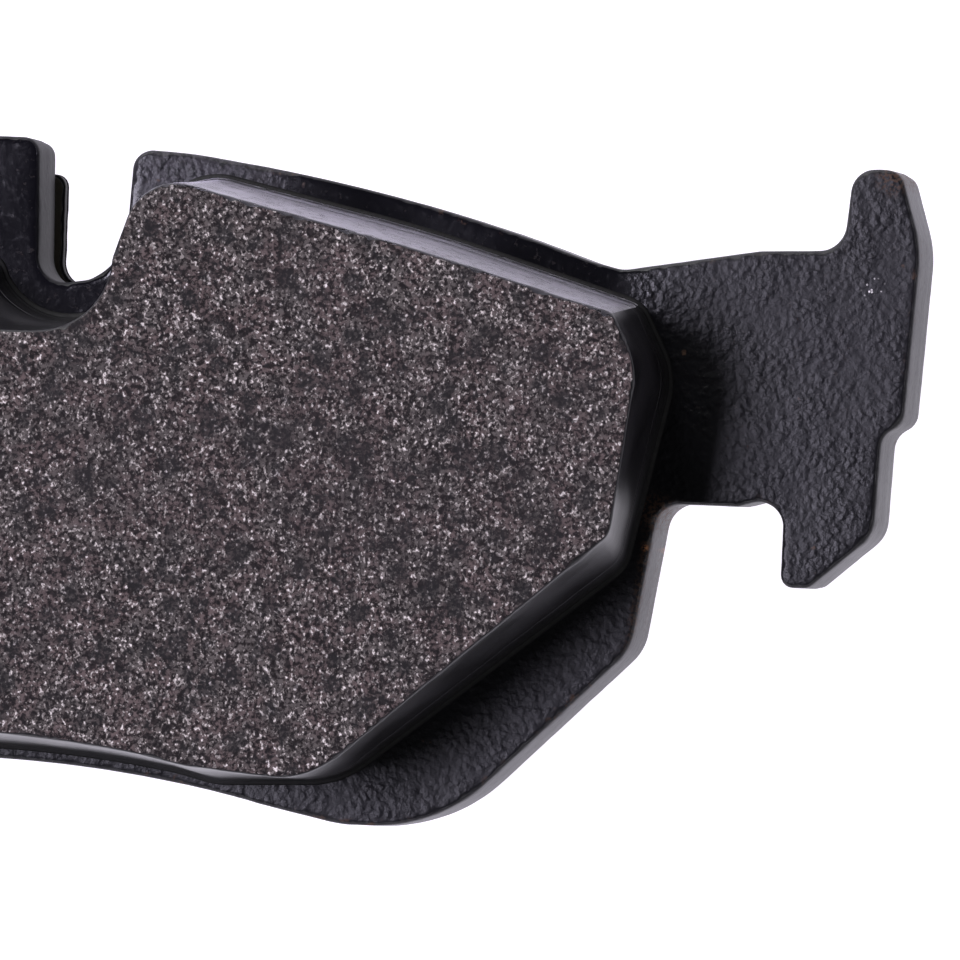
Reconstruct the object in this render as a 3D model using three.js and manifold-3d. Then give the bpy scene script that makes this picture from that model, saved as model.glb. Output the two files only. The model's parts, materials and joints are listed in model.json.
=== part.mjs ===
// Disc brake pad for the piston side of a rear caliper, with hammerhead ears and a sensor tab.
// Millimetres. +X runs along the pad, +Y points away from the wheel axle, +Z points at the disc.
// The pad lies on the three feet of its piston clip: z = 0 is the plane of the feet, and x = y = 0
// is the middle of the pad's outline, where the piston pushes.
import * as THREE from 'three';
import { mergeVertices } from 'three/addons/utils/BufferGeometryUtils.js';
import Module from 'manifold-3d';

const wasm = await Module();
wasm.setup();

// ---- driving dimensions ---------------------------------------------------------------------
const TAB_TOP = 21.8;
const TAB_HALF_WIDTH = 3.2;
const NOTCH_FLOOR = 12.5;
const NOTCH_OUTER_X = 9.05;
const TOP_RADIUS = 123;
const BOTTOM_RADIUS = 86;
const BOTTOM_CROWN = -18.4;
const LOBE_BOTTOM = -21.8;
const EAR_REACH = 61.55;
const EAR_TOP = 21.75;
const NECK_TOP = 16.5;
const NECK_BOTTOM = -0.3;
const HOOK_FACE_X = 53.3;
const HOOK_BOTTOM = -5.4;

const PLATE_THICKNESS = 6.0;
const BOND_THICKNESS = 0.15;
const UNDERLAYER_THICKNESS = 1.85;
const LINING_THICKNESS = 8.0;
const LINING_HEIGHT = BOND_THICKNESS + UNDERLAYER_THICKNESS + LINING_THICKNESS;

const SHIM_ADHESIVE = 0.1;
const SHIM_RUBBER = 0.2;
const SHIM_STEEL = 0.7;

const SCALLOP_X = 5.6;
const SCALLOP_BASE_Y = 15.1;
const SCALLOP_FACE_Y = 14.05;
const SCALLOP_RADIUS = 5.0;
const RIDGE_TIP_Y = 13.95;
const RIDGE_HALF_WIDTH = 0.45;
const RIDGE_SHOULDER_DROP = 0.15;
const RIDGE_FOOT_DROP = 0.55;
const RECESS_EDGE_Y = 8.95;

const KEYING_HOLE_X = 27;
const KEYING_HOLE_Y = 1.5;
const KEYING_HOLE_RADIUS = 5;
const KEYING_GAP = 0.15;

const RIVET_X = 7.4;
const RIVET_SHANK_RADIUS = 2.2;
const RIVET_HOLE_RADIUS = 2.4;
const SHIM_HOLE_RADIUS = 2.8;
const RIVET_HEAD_RADIUS = 3.5;
const RIVET_HEAD_HEIGHT = 1.3;
const RIVET_HEAD_FLAT_RADIUS = 1.6;
const RIVET_HEAD_RECESS = 0.05;
const COUNTERBORE_RADIUS = 3.9;
const COUNTERBORE_DEPTH = 1.5;

const CLIP_THICKNESS = 1.0;
const CLIP_HUB_RADIUS = 11.2;
const CLIP_HUB_HOLE_RADIUS = 3.2;
const CLIP_ARM_END = 13.4;
const CLIP_LEG_WIDTH = 7.0;
const CLIP_LEG_GAP = 0.3;
const CLIP_SHOULDER = 16.2;
const CLIP_GRIP_RADIUS = 17.3;
const CLIP_GRIP_DROP = 7.4;
const CLIP_FOOT_RADIUS = 15.1;
const CLIP_FOOT_DROP = 11.6;
const CLIP_LEG_ANGLES = { lower: 270, left: 150, right: 30 };

const CORNER_SEGMENTS = 5;
const ROUND_SEGMENTS = 32;
const RAMP_STEPS = 6;
const SCALLOP_STEPS = 7;
// How far a solid that cuts, or that is joined on, runs past the surface it meets.
const OVERRUN = 1;

// ---- materials ------------------------------------------------------------------------------
const material = (color, roughness, metalness) =>
  new THREE.MeshStandardMaterial({ color, roughness, metalness });

const materials = {
  coatedSteel: material(0x3b3840, 0.55, 0.3),
  bond: material(0x2a2420, 0.7, 0.0),
  underlayer: material(0x4a4342, 0.9, 0.0),
  friction: material(0x544b4e, 0.85, 0.1),
  adhesive: material(0x8a8578, 0.6, 0.0),
  rubber: material(0x17181a, 0.8, 0.0),
  shimSteel: material(0x6d7074, 0.4, 0.9),
  springSteel: material(0x7b7d80, 0.35, 1.0),
  rivetSteel: material(0xa8a59c, 0.4, 1.0),
};

const pad = new THREE.Group();

function addPart(name, geometry, surface) {
  const mesh = new THREE.Mesh(geometry, surface);
  mesh.name = name;
  pad.add(mesh);
  return mesh;
}

// ---- outlines -------------------------------------------------------------------------------
// Each corner is [x, y, radius]; a corner with a radius becomes an arc.
function roundCorners(corners) {
  const points = [];
  corners.forEach(([x, y, radius], i) => {
    const corner = new THREE.Vector2(x, y);
    if (!radius) {
      points.push(corner);
      return;
    }
    const [beforeX, beforeY] = corners[i - 1];
    const [afterX, afterY] = corners[i + 1];
    const before = new THREE.Vector2(beforeX - x, beforeY - y).normalize();
    const after = new THREE.Vector2(afterX - x, afterY - y).normalize();
    const halfAngle = Math.acos(THREE.MathUtils.clamp(before.dot(after), -1, 1)) / 2;
    const middle = before.clone().add(after).normalize();
    const centre = corner.clone().addScaledVector(middle, radius / Math.sin(halfAngle));
    const start = corner.clone().addScaledVector(before, radius / Math.tan(halfAngle));
    const turn = (Math.PI - 2 * halfAngle) * -Math.sign(before.cross(after));
    for (let k = 0; k <= CORNER_SEGMENTS; k++) {
      points.push(start.clone().rotateAround(centre, (turn * k) / CORNER_SEGMENTS));
    }
  });
  return points;
}

// Points on a circle whose crown, its highest point, lies on the pad's centre line.
function crownArc(radius, crown, fromX, toX, steps) {
  const points = [];
  for (let i = 0; i <= steps; i++) {
    const x = THREE.MathUtils.lerp(fromX, toX, i / steps);
    points.push([x, crown - radius + Math.sqrt(radius * radius - x * x), 0]);
  }
  return points;
}

// Closes a right half, which runs from the top of the centre line to its bottom, with its mirror.
// The outline that it returns runs counterclockwise.
function mirrorHalf(half) {
  const left = half.slice(1, -1).map((p) => new THREE.Vector2(-p.x, p.y));
  return [half[0], ...left, ...half.slice(1).reverse()];
}

function plateOutline() {
  return mirrorHalf(roundCorners([
    [0, TAB_TOP, 0],
    [TAB_HALF_WIDTH - 0.05, TAB_TOP, 1.1],
    [TAB_HALF_WIDTH + 0.25, NOTCH_FLOOR, 1.7],
    [NOTCH_OUTER_X, NOTCH_FLOOR, 3.8],
    [9.45, 21.3, 1.3],
    ...crownArc(TOP_RADIUS, TAB_TOP, 12.5, 40, 8),
    [42.05, 14.65, 2.5],
    [51.0, NECK_TOP - 0.3, 4],
    [56.5, NECK_TOP - 0.05, 1.8],
    [56.95, EAR_TOP, 1.6],
    [60.05, EAR_TOP, 1.3],
    [EAR_REACH + 0.05, 16.8, 8],
    [60.95, 5.45, 1.4],
    [59.55, 4.6, 1.3],
    [59.3, -1.8, 2.4],
    [55.15, HOOK_BOTTOM, 1.0],
    [HOOK_FACE_X, HOOK_BOTTOM, 0.8],
    [HOOK_FACE_X, 0.6, 1.6],
    [50.3, NECK_BOTTOM, 0.8],
    [45.1, NECK_BOTTOM, 1.7],
    [43.65, -9.8, 3.5],
    [31.45, LOBE_BOTTOM, 11],
    [25.0, LOBE_BOTTOM, 9],
    ...crownArc(BOTTOM_RADIUS, BOTTOM_CROWN, 20.8, 0, 6),
  ]));
}

function shimOutline() {
  return mirrorHalf(roundCorners([
    [0, 19.65, 0],
    [3.65, 19.65, 0.8],
    [3.7, NOTCH_FLOOR, 1.5],
    [NOTCH_OUTER_X - 0.1, NOTCH_FLOOR, 3.6],
    [9.3, 19.9, 0.9],
    ...crownArc(TOP_RADIUS - 1.4, TAB_TOP - 1.4, 12.5, 38, 6),
    [42.1, 13.2, 2.0],
    [43.5, 6.0, 3.0],
    [42.4, -9.0, 3.5],
    [31.1, -20.2, 9],
    [25.0, -20.2, 8],
    ...crownArc(BOTTOM_RADIUS + 1.6, BOTTOM_CROWN + 1.6, 20.8, 0, 5),
  ]));
}

// The edge of the lining around the notches and across the recess between them. At the base a
// scallop follows each notch and leaves a narrow ridge on the centre line; at the face the
// recess runs straight across, so the wall between them is a ramp.
function recessEdge(atBase) {
  const points = [];
  const scallopY = atBase ? SCALLOP_BASE_Y : SCALLOP_FACE_Y;
  const scallopPoint = (angle) => [
    SCALLOP_X + SCALLOP_RADIUS * Math.cos(angle),
    scallopY + SCALLOP_RADIUS * Math.sin(angle),
    0,
  ];
  const shoulderY = RIDGE_TIP_Y - RIDGE_SHOULDER_DROP;
  const ridgeFootY = RIDGE_TIP_Y - RIDGE_FOOT_DROP;
  const ridgeAngle = Math.PI + Math.asin((SCALLOP_BASE_Y - ridgeFootY) / SCALLOP_RADIUS);
  const scallopBottom = 1.5 * Math.PI;
  points.push([0, atBase ? RIDGE_TIP_Y : RECESS_EDGE_Y, 0]);
  points.push([RIDGE_HALF_WIDTH, atBase ? shoulderY : RECESS_EDGE_Y, 0]);
  for (let i = 0; i <= RAMP_STEPS; i++) {
    const along = i / RAMP_STEPS;
    const angle = THREE.MathUtils.lerp(ridgeAngle, scallopBottom, along);
    const straightX = THREE.MathUtils.lerp(1, SCALLOP_X, along);
    const straightY = THREE.MathUtils.lerp(RECESS_EDGE_Y, scallopY - SCALLOP_RADIUS, along * along);
    points.push(atBase ? scallopPoint(angle) : [straightX, straightY, 0]);
  }
  for (let i = 1; i <= SCALLOP_STEPS; i++) {
    points.push(scallopPoint(scallopBottom + (i / SCALLOP_STEPS) * 0.5 * Math.PI));
  }
  return points;
}

// The lining's walls lean in towards its face along the top and the bottom of the pad.
function liningBaseOutline() {
  return mirrorHalf(roundCorners([
    ...recessEdge(true),
    [13.1, 20.05, 4.0],
    [29.2, 16.55, 100],
    [43.35, 12.35, 1.8],
    [45.6, 8.0, 4.5],
    [42.95, -4.4, 2.4],
    [24.9, -18.9, 6],
    ...crownArc(BOTTOM_RADIUS, -17.4, 17.5, 0, 5),
  ]));
}

function liningFaceOutline() {
  return mirrorHalf(roundCorners([
    ...recessEdge(false),
    [12.35, 19.5, 3.4],
    [31.0, 15.1, 100],
    [43.65, 11.55, 1.4],
    [45.4, 8.25, 4.5],
    [44.05, -2.65, 1.4],
    [24.9, -19.3, 6.5],
    ...crownArc(BOTTOM_RADIUS, -16.85, 17.5, 0, 5),
  ]));
}

// ---- solids ---------------------------------------------------------------------------------
function circlePath(x, y, radius) {
  const path = new THREE.Path();
  const points = [];
  for (let i = 0; i < ROUND_SEGMENTS; i++) {
    const angle = (2 * Math.PI * i) / ROUND_SEGMENTS;
    points.push(new THREE.Vector2(x + radius * Math.cos(angle), y + radius * Math.sin(angle)));
  }
  path.setFromPoints(points);
  return path;
}

const rivetHoles = (radius) => [circlePath(-RIVET_X, 0, radius), circlePath(RIVET_X, 0, radius)];

const keyingHoles = (radius) => [
  circlePath(-KEYING_HOLE_X, KEYING_HOLE_Y, radius),
  circlePath(KEYING_HOLE_X, KEYING_HOLE_Y, radius),
];

function slab(outline, holes, bottomZ, thickness) {
  const shape = new THREE.Shape(outline);
  shape.holes = holes;
  const geometry = new THREE.ExtrudeGeometry(shape, { depth: thickness, bevelEnabled: false });
  geometry.translate(0, 0, bottomZ);
  return geometry;
}

function disc(x, y, radius, bottomZ, height) {
  const geometry = new THREE.CylinderGeometry(radius, radius, height, ROUND_SEGMENTS);
  geometry.rotateX(Math.PI / 2);
  geometry.translate(x, y, bottomZ + height / 2);
  return geometry;
}

function toManifold(source) {
  const geometry = source.clone();
  geometry.deleteAttribute('normal');
  geometry.deleteAttribute('uv');
  const merged = mergeVertices(geometry, 1e-4);
  const vertProperties = new Float32Array(merged.attributes.position.array);
  const triVerts = new Uint32Array(merged.index.array);
  return new wasm.Manifold(new wasm.Mesh({ numProp: 3, vertProperties, triVerts }));
}

function toGeometry(solid) {
  const mesh = solid.getMesh();
  const geometry = new THREE.BufferGeometry();
  geometry.setAttribute('position', new THREE.BufferAttribute(mesh.vertProperties, 3));
  geometry.setIndex(new THREE.BufferAttribute(mesh.triVerts, 1));
  geometry.computeVertexNormals();
  return geometry;
}

// Triangles that fill an outline, each one counterclockwise.
function capTriangles(outline) {
  return THREE.ShapeUtils.triangulateShape(outline, []).map(([a, b, c]) => {
    const side = outline[b].clone().sub(outline[a]).cross(outline[c].clone().sub(outline[a]));
    return side > 0 ? [a, b, c] : [a, c, b];
  });
}

// Joins two outlines with the same number of points, one above the other, into one solid.
function loft(lower, upper, bottomZ, topZ) {
  const count = lower.length;
  const positions = [];
  lower.forEach((p) => positions.push(p.x, p.y, bottomZ));
  upper.forEach((p) => positions.push(p.x, p.y, topZ));
  const index = [];
  for (let i = 0; i < count; i++) {
    const next = (i + 1) % count;
    index.push(i, next, count + next);
    index.push(i, count + next, count + i);
  }
  capTriangles(lower).forEach(([a, b, c]) => index.push(a, c, b));
  capTriangles(upper).forEach(([a, b, c]) => index.push(count + a, count + b, count + c));
  const geometry = new THREE.BufferGeometry();
  geometry.setAttribute('position', new THREE.Float32BufferAttribute(positions, 3));
  geometry.setIndex(index);
  geometry.computeVertexNormals();
  return geometry;
}

// ---- piston clip leg ------------------------------------------------------------------------
// Side view of a leg: x is the distance from the piston's axis, y is the height. The strip runs
// out from the hub, bends down, bows outward to grip the piston's bore, and turns in at its foot.
function legProfile() {
  const start = CLIP_ARM_END + CLIP_LEG_GAP;
  const centreLine = roundCorners([
    [start, 0, 0],
    [CLIP_SHOULDER, 0, 1.5],
    [CLIP_GRIP_RADIUS, -CLIP_GRIP_DROP, 1.8],
    [CLIP_FOOT_RADIUS, -CLIP_FOOT_DROP, 0],
  ]);
  const sides = [-1, 1].map((side) => centreLine.map((point, i) => {
    const before = centreLine[Math.max(i - 1, 0)];
    const after = centreLine[Math.min(i + 1, centreLine.length - 1)];
    const along = after.clone().sub(before).normalize();
    const across = new THREE.Vector2(-along.y, along.x);
    return point.clone().addScaledVector(across, (side * CLIP_THICKNESS) / 2);
  }));
  return [...sides[0], ...sides[1].reverse()];
}

function legGeometry() {
  const shape = new THREE.Shape(legProfile());
  const geometry = new THREE.ExtrudeGeometry(shape, { depth: CLIP_LEG_WIDTH, bevelEnabled: false });
  geometry.translate(0, 0, -CLIP_LEG_WIDTH / 2);
  geometry.rotateX(Math.PI / 2);
  return geometry;
}

// ---- heights, from the feet up --------------------------------------------------------------
const clipMiddleZ = -Math.min(...legProfile().map((p) => p.y));
const clipBottomZ = clipMiddleZ - CLIP_THICKNESS / 2;
const shimBottomZ = clipMiddleZ + CLIP_THICKNESS / 2;
const shimSteelZ = shimBottomZ + SHIM_RUBBER;
const shimInnerZ = shimSteelZ + SHIM_STEEL;
const shimAdhesiveZ = shimInnerZ + SHIM_RUBBER;
const plateBottomZ = shimAdhesiveZ + SHIM_ADHESIVE;
const plateTopZ = plateBottomZ + PLATE_THICKNESS;
const underlayerZ = plateTopZ + BOND_THICKNESS;
const liningZ = underlayerZ + UNDERLAYER_THICKNESS;

// ---- backing plate --------------------------------------------------------------------------
function backingPlate() {
  const holes = [...rivetHoles(RIVET_HOLE_RADIUS), ...keyingHoles(KEYING_HOLE_RADIUS)];
  let plate = toManifold(slab(plateOutline(), holes, plateBottomZ, PLATE_THICKNESS));
  [-RIVET_X, RIVET_X].forEach((x) => {
    const floorZ = plateTopZ - COUNTERBORE_DEPTH;
    const cutter = disc(x, 0, COUNTERBORE_RADIUS, floorZ, COUNTERBORE_DEPTH + OVERRUN);
    plate = plate.subtract(toManifold(cutter));
  });
  return toGeometry(plate);
}
addPart('backing_plate', backingPlate(), materials.coatedSteel);

// ---- bond film, underlayer and friction lining ----------------------------------------------
const baseOutline = liningBaseOutline();
const faceOutline = liningFaceOutline();
const outlineAt = (height) =>
  baseOutline.map((p, i) => p.clone().lerp(faceOutline[i], height / LINING_HEIGHT));
const jointOutline = outlineAt(BOND_THICKNESS + UNDERLAYER_THICKNESS);

addPart(
  'bond_film',
  slab(baseOutline, keyingHoles(KEYING_HOLE_RADIUS), plateTopZ, BOND_THICKNESS),
  materials.bond,
);

function underlayer() {
  let solid = toManifold(loft(outlineAt(BOND_THICKNESS), jointOutline, underlayerZ, liningZ));
  [-KEYING_HOLE_X, KEYING_HOLE_X].forEach((x) => {
    const radius = KEYING_HOLE_RADIUS - KEYING_GAP;
    const bottomZ = plateBottomZ + KEYING_GAP;
    const plug = disc(x, KEYING_HOLE_Y, radius, bottomZ, underlayerZ - bottomZ + OVERRUN);
    solid = solid.add(toManifold(plug));
  });
  return toGeometry(solid);
}
addPart('underlayer', underlayer(), materials.underlayer);

addPart(
  'friction_lining',
  loft(jointOutline, faceOutline, liningZ, liningZ + LINING_THICKNESS),
  materials.friction,
);

// ---- noise shim, a laminate of four layers --------------------------------------------------
function addShimLayer(name, bottomZ, thickness, surface) {
  const holes = rivetHoles(SHIM_HOLE_RADIUS);
  addPart(name, slab(shimOutline(), holes, bottomZ, thickness), surface);
}
addShimLayer('shim_adhesive', shimAdhesiveZ, SHIM_ADHESIVE, materials.adhesive);
addShimLayer('shim_inner_rubber', shimInnerZ, SHIM_RUBBER, materials.rubber);
addShimLayer('shim_steel_core', shimSteelZ, SHIM_STEEL, materials.shimSteel);
addShimLayer('shim_outer_rubber', shimBottomZ, SHIM_RUBBER, materials.rubber);

// ---- piston clip ----------------------------------------------------------------------------
function clipHub() {
  let hub = toManifold(disc(0, 0, CLIP_HUB_RADIUS, clipBottomZ, CLIP_THICKNESS));
  Object.values(CLIP_LEG_ANGLES).forEach((angle) => {
    const arm = new THREE.BoxGeometry(CLIP_ARM_END, CLIP_LEG_WIDTH, CLIP_THICKNESS);
    arm.translate(CLIP_ARM_END / 2, 0, clipMiddleZ);
    arm.rotateZ(THREE.MathUtils.degToRad(angle));
    hub = hub.add(toManifold(arm));
  });
  const cutBottom = clipBottomZ - OVERRUN;
  const cutHeight = CLIP_THICKNESS + 2 * OVERRUN;
  hub = hub.subtract(toManifold(disc(0, 0, CLIP_HUB_HOLE_RADIUS, cutBottom, cutHeight)));
  [-RIVET_X, RIVET_X].forEach((x) => {
    hub = hub.subtract(toManifold(disc(x, 0, RIVET_HOLE_RADIUS, cutBottom, cutHeight)));
  });
  return toGeometry(hub);
}
addPart('piston_clip_hub', clipHub(), materials.springSteel);

Object.entries(CLIP_LEG_ANGLES).forEach(([side, angle]) => {
  const leg = addPart(`piston_clip_leg_${side}`, legGeometry(), materials.springSteel);
  leg.rotation.z = THREE.MathUtils.degToRad(angle);
  leg.position.z = clipMiddleZ;
});

// ---- clip rivets ----------------------------------------------------------------------------
// The flat head sits in the plate's counterbore, and the round head is closed over the hub.
function rivetGeometry() {
  const headTop = plateTopZ - RIVET_HEAD_RECESS;
  const headUnder = plateTopZ - COUNTERBORE_DEPTH;
  const closedTop = clipBottomZ;
  const closedBottom = clipBottomZ - RIVET_HEAD_HEIGHT;
  const profile = [[0, closedBottom], [RIVET_HEAD_FLAT_RADIUS, closedBottom]];
  const roundSteps = 4;
  for (let i = 1; i <= roundSteps; i++) {
    const angle = (i / roundSteps) * 0.5 * Math.PI;
    const r = THREE.MathUtils.lerp(RIVET_HEAD_FLAT_RADIUS, RIVET_HEAD_RADIUS, Math.sin(angle));
    profile.push([r, closedTop - RIVET_HEAD_HEIGHT * Math.cos(angle)]);
  }
  profile.push([RIVET_SHANK_RADIUS, closedTop]);
  profile.push([RIVET_SHANK_RADIUS, headUnder]);
  profile.push([RIVET_HEAD_RADIUS, headUnder]);
  profile.push([RIVET_HEAD_RADIUS, headTop]);
  profile.push([0, headTop]);
  const points = profile.map(([r, z]) => new THREE.Vector2(r, z));
  const geometry = new THREE.LatheGeometry(points, ROUND_SEGMENTS);
  geometry.rotateX(Math.PI / 2);
  return geometry;
}
[['left', -RIVET_X], ['right', RIVET_X]].forEach(([side, x]) => {
  const rivet = addPart(`clip_rivet_${side}`, rivetGeometry(), materials.rivetSteel);
  rivet.position.x = x;
});

export default pad;
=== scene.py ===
"""Looks of a disc brake pad: coated plate, ground friction block, laminated shim, sprung clip."""
import json
import math
import random

import bpy
import numpy as np
from mathutils import Matrix, Vector, kdtree, noise
from mathutils.geometry import delaunay_2d_cdt


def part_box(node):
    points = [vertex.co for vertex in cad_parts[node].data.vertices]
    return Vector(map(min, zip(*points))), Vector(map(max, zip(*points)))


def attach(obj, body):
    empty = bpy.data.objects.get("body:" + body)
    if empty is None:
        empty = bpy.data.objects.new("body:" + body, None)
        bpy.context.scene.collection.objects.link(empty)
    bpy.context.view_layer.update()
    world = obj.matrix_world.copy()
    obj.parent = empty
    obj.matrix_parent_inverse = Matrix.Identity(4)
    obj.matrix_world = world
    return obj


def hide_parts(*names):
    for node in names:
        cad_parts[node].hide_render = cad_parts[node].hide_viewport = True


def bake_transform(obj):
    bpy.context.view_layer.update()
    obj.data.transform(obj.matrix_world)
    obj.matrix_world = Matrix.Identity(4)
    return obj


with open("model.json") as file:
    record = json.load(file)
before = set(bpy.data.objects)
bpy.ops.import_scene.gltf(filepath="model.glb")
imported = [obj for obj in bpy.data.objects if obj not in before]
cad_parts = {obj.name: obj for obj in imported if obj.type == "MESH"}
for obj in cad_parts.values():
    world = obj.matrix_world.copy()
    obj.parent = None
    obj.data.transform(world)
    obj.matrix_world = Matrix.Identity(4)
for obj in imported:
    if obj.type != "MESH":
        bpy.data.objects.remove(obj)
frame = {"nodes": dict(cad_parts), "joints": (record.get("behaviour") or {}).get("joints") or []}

# Meshes are worked out in millimetres and become metres when they are built.
MM = 0.001
random.seed(7)
noise.seed_set(7)
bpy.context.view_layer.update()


def heights(node):
    """A node's lowest and highest z."""
    low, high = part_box(node)
    return low.z / MM, high.z / MM


PLATE_BACK, PLATE_FACE = heights("backing_plate")
BOND_TOP = heights("bond_film")[1]
JOINT, BLOCK_FACE = heights("friction_lining")
SHIM_BACK = heights("shim_outer_rubber")[0]
CLIP_BACK, CLIP_FACE = heights("piston_clip_hub")
ARM_END = -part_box("piston_clip_hub")[0].y / MM
PLATE_THICKNESS = PLATE_FACE - PLATE_BACK

# Steps between neighbouring points of a mesh.
EDGE_STEP = 0.28
FINE_STEP = 0.28
FACE_STEP = 0.3
PLATE_BACK_STEP = 0.36
SHEET_STEP = 0.4
COVER_STEP = 0.6
BACK_STEP = 0.7
HUB_STEP = 0.8
COARSE_STEP = 2.5

# How far a layer's face stays back from the plane that it shares with the next layer.
BLOCK_GAP = 0.004
SHIM_GAP = 0.003


# ---- outlines from the frame ----------------------------------------------------------------
def flat_loops(node, value, axis=2):
    """Loops around a node's flat faces in the plane axis = value, counterclockwise, outer first."""
    mesh = frame["nodes"][node].data
    mesh.calc_loop_triangles()
    places = np.array([v.co for v in mesh.vertices]) / MM
    points, index = np.unique(np.round(places, 4), axis=0, return_inverse=True)
    index = index.reshape(-1)
    triangles = index[np.array([t.vertices for t in mesh.loop_triangles])]
    on_plane = np.abs(points[triangles][:, :, axis] - value) < 0.004
    following = {}
    edges = set()
    for a, b, c in triangles[on_plane.all(axis=1)]:
        for edge in ((a, b), (b, c), (c, a)):
            if edge[::-1] in edges:
                edges.remove(edge[::-1])
            else:
                edges.add(edge)
    for a, b in edges:
        following[a] = b
    across = [k for k in range(3) if k != axis]
    loops = []
    while following:
        start = min(following)
        loop, at = [], start
        while at in following:
            loop.append(at)
            at = following.pop(at)
        flat = points[loop][:, across]
        loops.append(flat if area(flat) > 0 else flat[::-1])
    return sorted(loops, key=area, reverse=True)


def area(loop):
    x, y = loop.T
    return 0.5 * float(np.sum(x * np.roll(y, -1) - y * np.roll(x, -1)))


def from_the_top(loop):
    """The same loop, starting at its highest point on the centre line."""
    near = np.where(np.abs(loop[:, 0]) < 0.01)[0]
    first = near[np.argmax(loop[near, 1])]
    return np.roll(loop, -first, axis=0)


def side_tangents(points, closed):
    """Each side's unit direction at its two ends. Round stretches follow circles, long sides are straight."""
    side = np.roll(points, -1, 0) - points
    length = np.linalg.norm(side, axis=1)
    unit = side / length[:, None]
    before, before_length = np.roll(unit, 1, 0), np.roll(length, 1)
    if not closed:
        before[0], before_length[0] = unit[0], length[0]
        unit[-1], length[-1] = unit[-2], length[-2]
    tangent = before * length[:, None] + unit * before_length[:, None]
    tangent /= np.linalg.norm(tangent, axis=1)[:, None]
    straight = length > 2.1 * np.minimum(before_length, np.roll(length, -1))
    straight &= length > 0.6
    after_straight = np.roll(straight, 1)
    sharp = np.sum(before * unit, axis=1) < 0.72
    start = np.where((sharp | straight)[:, None], unit, tangent)
    start = np.where((after_straight & ~straight & ~sharp)[:, None], before, start)
    end = np.where(sharp[:, None], before, tangent)
    end = np.where((straight & ~sharp)[:, None], unit, end)
    return length, straight, start, np.roll(end, -1, 0)


def divide(loops, step, closed=True):
    """Smooth points along faceted lines with matching corners, the same number on each line."""
    made = [side_tangents(points, closed) for points in loops]
    counts = np.ceil(np.max([m[0] for m in made], axis=0) / step).astype(int)
    lines = []
    for points, (length, straight, start, end) in zip(loops, made):
        line = []
        sides = range(len(points) if closed else len(points) - 1)
        for i in sides:
            p0, p1 = points[i], points[(i + 1) % len(points)]
            for t in np.arange(counts[i]) / counts[i]:
                if straight[i]:
                    line.append(p0 + (p1 - p0) * t)
                    continue
                a, b = start[i] * length[i], end[i] * length[i]
                line.append(
                    p0 * (2 * t**3 - 3 * t**2 + 1)
                    + a * (t**3 - 2 * t**2 + t)
                    + p1 * (3 * t**2 - 2 * t**3)
                    + b * (t**3 - t**2)
                )
        if not closed:
            line.append(points[-1])
        lines.append(np.array(line))
    return lines


def outward(loop):
    """Unit normals that point out of a counterclockwise loop."""
    along = np.roll(loop, -1, 0) - np.roll(loop, 1, 0)
    along /= np.linalg.norm(along, axis=1)[:, None]
    return np.column_stack([along[:, 1], -along[:, 0]])


def circle(centre, radius, count=48):
    turn = np.arange(count) * 2 * math.pi / count
    return np.array(centre) + radius * np.column_stack([np.cos(turn), np.sin(turn)])


def mean_radius(loop, middle):
    return np.linalg.norm(loop - middle, axis=1).mean()


def inside(points, loop):
    """Which points lie inside a loop."""
    result = np.zeros(len(points), bool)
    after = np.roll(loop, -1, 0)
    for (x0, y0), (x1, y1) in zip(loop, after):
        if y0 == y1:
            continue
        crosses = (points[:, 1] < y0) != (points[:, 1] < y1)
        reach = x0 + (points[:, 1] - y0) * (x1 - x0) / (y1 - y0)
        result ^= crosses & (points[:, 0] < reach)
    return result


def distance_to(points, loop):
    tree = kdtree.KDTree(len(loop))
    for i, (x, y) in enumerate(loop):
        tree.insert((x, y, 0), i)
    tree.balance()
    return np.array([tree.find((x, y, 0))[2] for x, y in points])


def scatter(outer, holes, step, clear=0.75):
    """Jittered points inside a loop and outside its holes."""
    low, high = outer.min(0), outer.max(0)
    xs = np.arange(low[0], high[0], step)
    ys = np.arange(low[1], high[1], step * 0.87)
    grid = np.array([(x + (j % 2) * step / 2, y) for j, y in enumerate(ys) for x in xs])
    jitter = np.array([(random.uniform(-1, 1), random.uniform(-1, 1)) for _ in grid])
    grid += jitter * step * 0.18
    grid = grid[inside(grid, outer)]
    for hole in holes:
        grid = grid[~inside(grid, hole)]
    for loop in [outer, *holes]:
        grid = grid[distance_to(grid, loop) > step * clear]
    return grid


def fractal(points, size, octaves=1, roughness=0.5):
    """Fractal noise with lumps of about size millimetres."""
    h = -math.log2(roughness)
    return np.array([noise.fractal(Vector(p) / size, h, 2.0, octaves) for p in points])


def lifted(flat, z):
    """Flat points with a height each, or one height for all."""
    return np.column_stack([flat, np.broadcast_to(z, len(flat))])


def smoothstep(low, high, value):
    t = np.clip((value - low) / (high - low), 0, 1)
    return t * t * (3 - 2 * t)


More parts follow.
